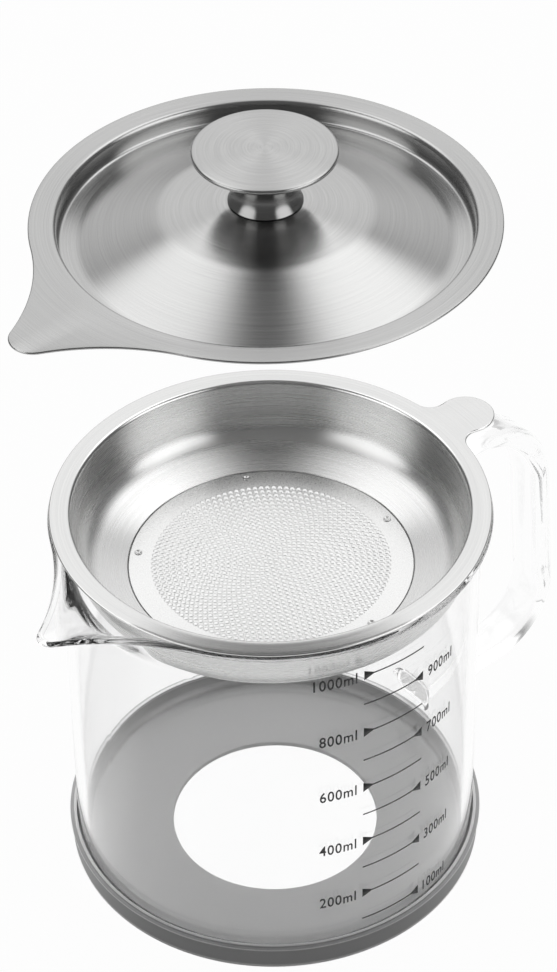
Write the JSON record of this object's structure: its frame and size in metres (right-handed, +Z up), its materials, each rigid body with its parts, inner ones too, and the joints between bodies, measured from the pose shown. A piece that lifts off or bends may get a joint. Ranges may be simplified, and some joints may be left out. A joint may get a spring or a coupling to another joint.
{
  "type": "bacon grease container",
  "caption": "Clear glass grease jug with a pouring spout, loop handle and printed scale, a drop-in steel strainer, a lift-off steel lid with a knob, and a grey silicone base sleeve.",
  "frame": {"origin": "centre of the footprint of the whole object's bounding box, on the surface that it stands on", "axes": "+Z up along the jug's axis, +X from the spout towards the handle, +Y to the left of the handle seen from the spout"},
  "size_m": [0.1888, 0.1212, 0.237],
  "materials": {
    "silicone": "moulded grey silicone, satin",
    "glass": "clear borosilicate glass",
    "brushed_steel": "stamped stainless steel, turned brushing",
    "fastener_steel": "zinc plated steel"
  },
  "bodies": {
    "sleeve": {"silicone_base": "silicone"},
    "jug": {"glass_jug": "glass", "glass_handle": "glass"},
    "strainer": {"strainer_bowl": "brushed_steel", "filter_disc": "brushed_steel", "spot_weld_1": "brushed_steel", "spot_weld_2": "brushed_steel", "spot_weld_3": "brushed_steel", "spot_weld_4": "brushed_steel", "spot_weld_5": "brushed_steel"},
    "lid": {"lid_shell": "brushed_steel", "knob_top": "brushed_steel", "knob_neck": "brushed_steel", "knob_insert": "fastener_steel", "knob_washer": "fastener_steel", "knob_screw": "fastener_steel"}
  },
  "joints": [
    {"name": "jug_lift", "type": "slide", "parent": "sleeve", "child": "jug", "axis": [0, 0, 1], "range_m": [0, 0.03]},
    {"name": "strainer_lift", "type": "slide", "parent": "jug", "child": "strainer", "axis": [0, 0, 1], "range_m": [0, 0.05]},
    {"name": "lid_lift", "type": "slide", "parent": "strainer", "child": "lid", "axis": [0, 0, 1], "range_m": [-0.094, 0]}
  ]
}
